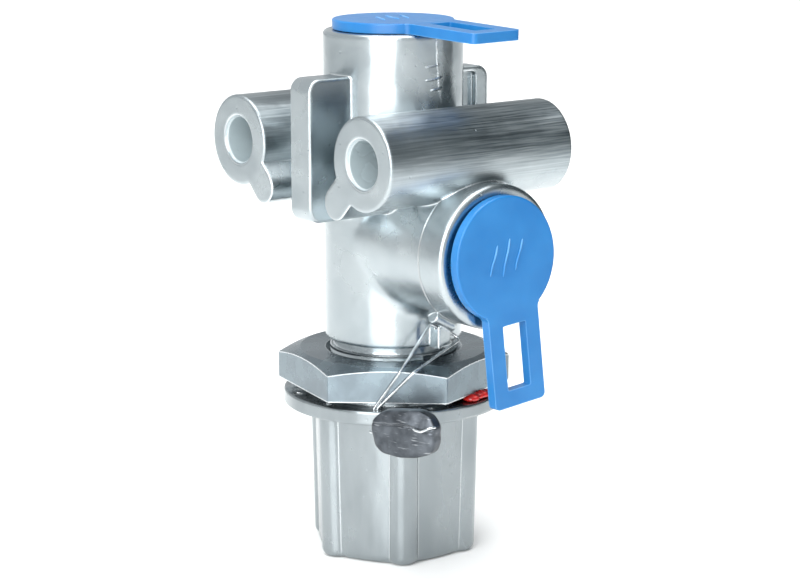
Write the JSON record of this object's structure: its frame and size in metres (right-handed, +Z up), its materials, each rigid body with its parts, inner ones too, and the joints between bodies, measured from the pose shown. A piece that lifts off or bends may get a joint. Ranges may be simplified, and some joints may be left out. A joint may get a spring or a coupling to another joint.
{
  "type": "protection valve",
  "caption": "Spring-loaded compressed-air protection valve with a ribbed adjusting cap, hexagon lock nut, wire-and-lead tamper seal and pull-out port plugs, fixed by bolts through two tubes.",
  "frame": {"origin": "centre of the adjusting cap's foot, on the axis of the barrel", "axes": "+Z up the barrel to the top port, -Y out of the side port, X along the two mounting tubes"},
  "size_m": [0.0425, 0.0615, 0.1007],
  "materials": {
    "cast_body": "bare die cast, bright satin",
    "cast_cap": "bare die cast, satin",
    "zinc_steel": "bright zinc plated",
    "turned_aluminium": "turned",
    "black_rubber": "moulded nitrile rubber",
    "pale_plastic": "turned fluoroplastic",
    "plain_steel": "plain",
    "spring_steel": "oiled spring wire",
    "brass": "turned",
    "sintered_bronze": "sintered, matte",
    "blue_plastic": "moulded polyethylene, semi-gloss",
    "lead": "crimped lead, dull",
    "bright_wire": "drawn, bright",
    "red_lacquer": "brushed-on lacquer"
  },
  "bodies": {
    "root": {"valve_body": "cast_body", "lock_nut": "zinc_steel", "adjusting_cap": "cast_cap", "valve_seat": "brass", "lower_spring_seat": "plain_steel", "main_spring": "spring_steel", "stop_ring": "spring_steel", "neck_o_ring": "black_rubber", "inlet_strainer": "sintered_bronze", "strainer_clip": "spring_steel", "vent_filter": "sintered_bronze", "lead_seal": "lead", "seal_wire": "bright_wire", "sealing_paint": "red_lacquer"},
    "piston_group": {"piston": "turned_aluminium", "piston_o_ring": "black_rubber", "guide_ring": "pale_plastic", "valve_disc": "black_rubber", "disc_washer": "plain_steel", "disc_screw": "plain_steel", "upper_spring_seat": "plain_steel"},
    "top_plug": {"top_port_plug": "blue_plastic"},
    "side_plug": {"side_port_plug": "blue_plastic"}
  },
  "joints": [
    {"name": "piston_travel", "type": "slide", "parent": "root", "child": "piston_group", "axis": [0, 0, -1], "range_m": [0, 0.0025], "stiffness_N_per_m": 200, "springref_m": -0.005, "deforming": ["main_spring"]},
    {"name": "top_plug_pull", "type": "slide", "parent": "root", "child": "top_plug", "axis": [0, 0, 1], "range_m": [0, 0.03]},
    {"name": "side_plug_pull", "type": "slide", "parent": "root", "child": "side_plug", "axis": [0, -1, 0], "range_m": [0, 0.03]}
  ]
}
